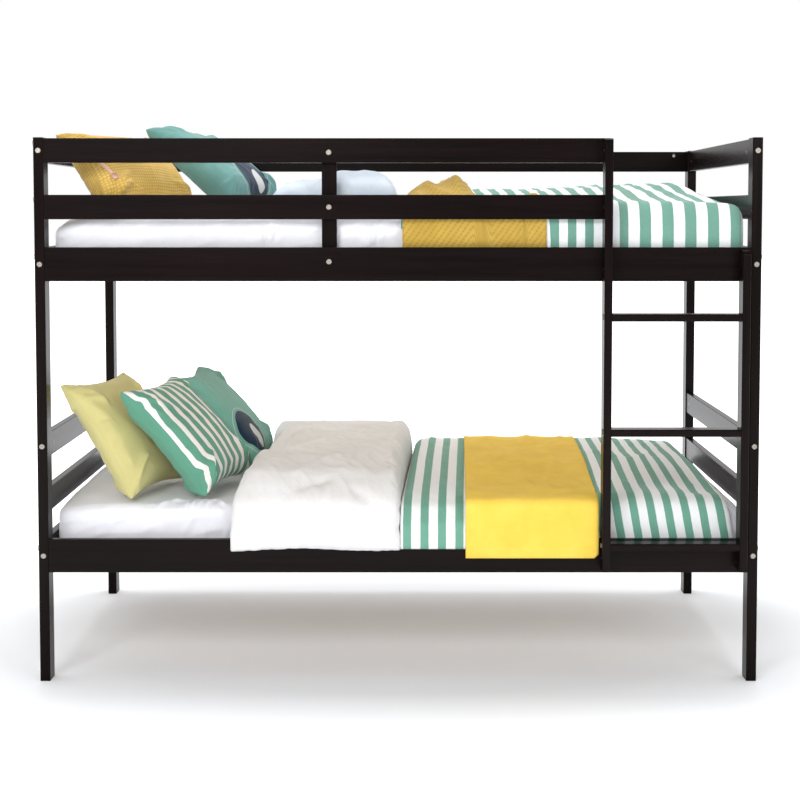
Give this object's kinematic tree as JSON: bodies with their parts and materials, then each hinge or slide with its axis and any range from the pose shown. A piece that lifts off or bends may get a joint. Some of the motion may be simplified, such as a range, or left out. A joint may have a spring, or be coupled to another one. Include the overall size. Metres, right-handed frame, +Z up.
{
  "type": "bunk bed with ladder",
  "caption": "Dark wooden twin-over-twin bunk bed with guard rails, a fixed front ladder, slatted bases, mattresses and layered bedding.",
  "frame": {"origin": "on the floor, under the middle of the bed's overall box", "axes": "+X along the bed towards the ladder end, +Y from the ladder side to the wall side, +Z up"},
  "size_m": [1.995, 1.1154, 1.5561],
  "materials": {
    "espresso_wood": "semi-gloss dark espresso lacquer on pine, with fine grain",
    "pale_wood": "planed unfinished pine",
    "nickel_steel": "bright nickel-plated steel",
    "white_cotton": "plain-woven white fitted sheet over the mattress",
    "white_duvet": "soft white cotton sateen, puffy",
    "striped_cotton": "woven cotton with even sea-green and white stripes",
    "striped_cushion_cotton": "woven cotton with green and white stripes",
    "teal_cotton": "plain-woven teal cotton with a plain navy disc motif",
    "olive_cotton": "plain-woven pale olive-yellow cotton",
    "mustard_waffle": "mustard waffle-weave cotton",
    "mustard_knit": "mustard knitted throw",
    "yellow_wool": "bright yellow woven throw with fine crosswise slubs"
  },
  "bodies": {
    "bed_frame": {"front_left_post": "espresso_wood", "front_right_post": "espresso_wood", "back_left_post": "espresso_wood", "back_right_post": "espresso_wood", "left_top_guard_board": "espresso_wood", "left_mid_guard_board": "espresso_wood", "left_upper_rail_board": "espresso_wood", "left_lower_top_board": "espresso_wood", "left_lower_mid_board": "espresso_wood", "left_lower_rail_board": "espresso_wood", "right_top_guard_board": "espresso_wood", "right_mid_guard_board": "espresso_wood", "right_upper_rail_board": "espresso_wood", "right_lower_top_board": "espresso_wood", "right_lower_mid_board": "espresso_wood", "right_lower_rail_board": "espresso_wood", "front_top_guard": "espresso_wood", "front_mid_guard": "espresso_wood", "front_upper_rail": "espresso_wood", "front_lower_rail": "espresso_wood", "front_guard_brace": "espresso_wood", "back_top_guard": "espresso_wood", "back_mid_guard": "espresso_wood", "back_upper_rail": "espresso_wood", "back_lower_rail": "espresso_wood", "back_guard_brace": "espresso_wood", "ladder_left_stile": "espresso_wood", "ladder_right_stile": "espresso_wood", "ladder_rung_1": "espresso_wood", "ladder_rung_2": "espresso_wood", "ladder_rung_3": "espresso_wood", "front_upper_cleat": "espresso_wood", "back_upper_cleat": "espresso_wood", "front_lower_cleat": "espresso_wood", "back_lower_cleat": "espresso_wood", "upper_slats": "pale_wood", "lower_slats": "pale_wood", "end_frame_bolts": "nickel_steel", "side_rail_bolts": "nickel_steel", "guard_brace_bolts": "nickel_steel", "guard_brace_nuts": "nickel_steel", "ladder_fixing_bolts": "nickel_steel", "ladder_rung_bolts": "nickel_steel", "barrel_nuts": "nickel_steel", "dowels": "pale_wood", "wood_screws": "nickel_steel"},
    "upper_bedding": {"upper_mattress": "white_cotton", "upper_waffle_cushion": "mustard_waffle", "upper_teal_cushion": "teal_cotton", "upper_duvet": "white_duvet", "upper_coverlet": "striped_cotton", "upper_throw": "mustard_knit"},
    "lower_bedding": {"lower_mattress": "white_cotton", "lower_olive_cushion": "olive_cotton", "lower_striped_cushion": "striped_cushion_cotton", "lower_teal_cushion": "teal_cotton", "lower_duvet": "white_duvet", "lower_coverlet": "striped_cotton", "lower_throw": "yellow_wool"}
  },
  "joints": [
    {"name": "upper_mattress_lift", "type": "slide", "parent": "bed_frame", "child": "upper_bedding", "axis": [0, 0, 1], "range_m": [0, 0.38]},
    {"name": "lower_mattress_lift", "type": "slide", "parent": "bed_frame", "child": "lower_bedding", "axis": [0, 0, 1], "range_m": [0, 0.12]}
  ]
}
